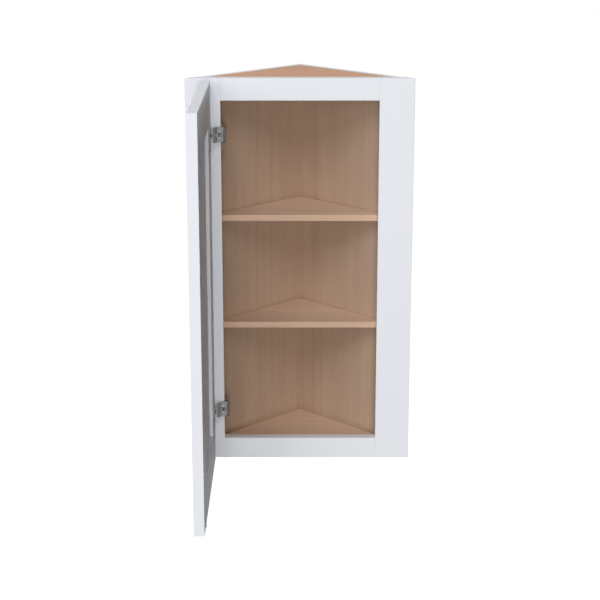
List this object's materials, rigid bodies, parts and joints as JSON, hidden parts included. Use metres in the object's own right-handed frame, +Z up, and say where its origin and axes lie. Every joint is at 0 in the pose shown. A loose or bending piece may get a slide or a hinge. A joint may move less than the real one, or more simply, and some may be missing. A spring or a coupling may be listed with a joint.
{
  "type": "corner wall cabinet",
  "caption": "Triangular wall cabinet with a white face frame across its slanted front, wood-lined shelves and a recessed-panel door on concealed cup hinges.",
  "frame": {"origin": "foot of the vertical back corner, where the outer faces of the two side panels meet", "axes": "+Z up; +X along the slanted front towards its free stile; the front looks along -Y"},
  "size_m": [0.4334, 0.6056, 0.762],
  "materials": {
    "side_board": "maple-look board inside, white paint outside, satin",
    "case_board": "maple-look laminate, satin",
    "shelf_board": "maple-look laminate with banded edges, satin",
    "frame_paint": "white paint on hardwood, satin",
    "door_paint": "white paint on hardwood, satin",
    "shelf_pin": "zinc plated",
    "screw": "nickel plated",
    "hinge_casting": "nickel plated die casting",
    "hinge_pin": "drawn steel",
    "hinge_sheet": "nickel plated pressed sheet",
    "bumper": "soft clear plastic"
  },
  "bodies": {
    "cabinet": {"left_side_panel": "side_board", "right_side_panel": "side_board", "top_panel": "case_board", "bottom_panel": "case_board", "lower_shelf": "shelf_board", "upper_shelf": "shelf_board", "lower_shelf_pins": "shelf_pin", "upper_shelf_pins": "shelf_pin", "frame_hinge_stile": "frame_paint", "frame_free_stile": "frame_paint", "frame_top_rail": "frame_paint", "frame_bottom_rail": "frame_paint", "lower_hinge_bracket": "hinge_casting", "upper_hinge_bracket": "hinge_casting", "lower_bracket_pins": "hinge_pin", "upper_bracket_pins": "hinge_pin", "lower_bracket_screws": "screw", "upper_bracket_screws": "screw"},
    "hinge_arms": {"lower_hinge_arm": "hinge_sheet", "upper_hinge_arm": "hinge_sheet"},
    "hinge_links": {"lower_hinge_link": "hinge_sheet", "upper_hinge_link": "hinge_sheet"},
    "door": {"door_hinge_stile": "door_paint", "door_free_stile": "door_paint", "door_top_rail": "door_paint", "door_bottom_rail": "door_paint", "door_panel": "door_paint", "door_bumpers": "bumper", "lower_hinge_cup": "hinge_sheet", "upper_hinge_cup": "hinge_sheet", "lower_cup_pins": "hinge_pin", "upper_cup_pins": "hinge_pin", "lower_cup_screws": "screw", "upper_cup_screws": "screw"}
  },
  "joints": [
    {"name": "arm_swing", "type": "hinge", "parent": "cabinet", "child": "hinge_arms", "pos_m": [-0.14343, -0.21629, 0.381], "axis": [0, 0, 1], "range_deg": [-33.14, 5.61]},
    {"name": "door_swing", "type": "hinge", "parent": "hinge_arms", "child": "door", "pos_m": [-0.17013, -0.23943, 0.381], "axis": [0, 0, 1], "range_deg": [-20.5, 123.04]},
    {"name": "link_swing", "type": "hinge", "parent": "cabinet", "child": "hinge_links", "pos_m": [-0.15693, -0.22795, 0.381], "axis": [0, 0, 1], "range_deg": [-37.84, 6.39]}
  ],
  "couplings": [
    {"joint": "arm_swing", "follows": "door_swing", "ratio": -0.26853},
    {"joint": "link_swing", "follows": "door_swing", "ratio": -0.30671}
  ]
}
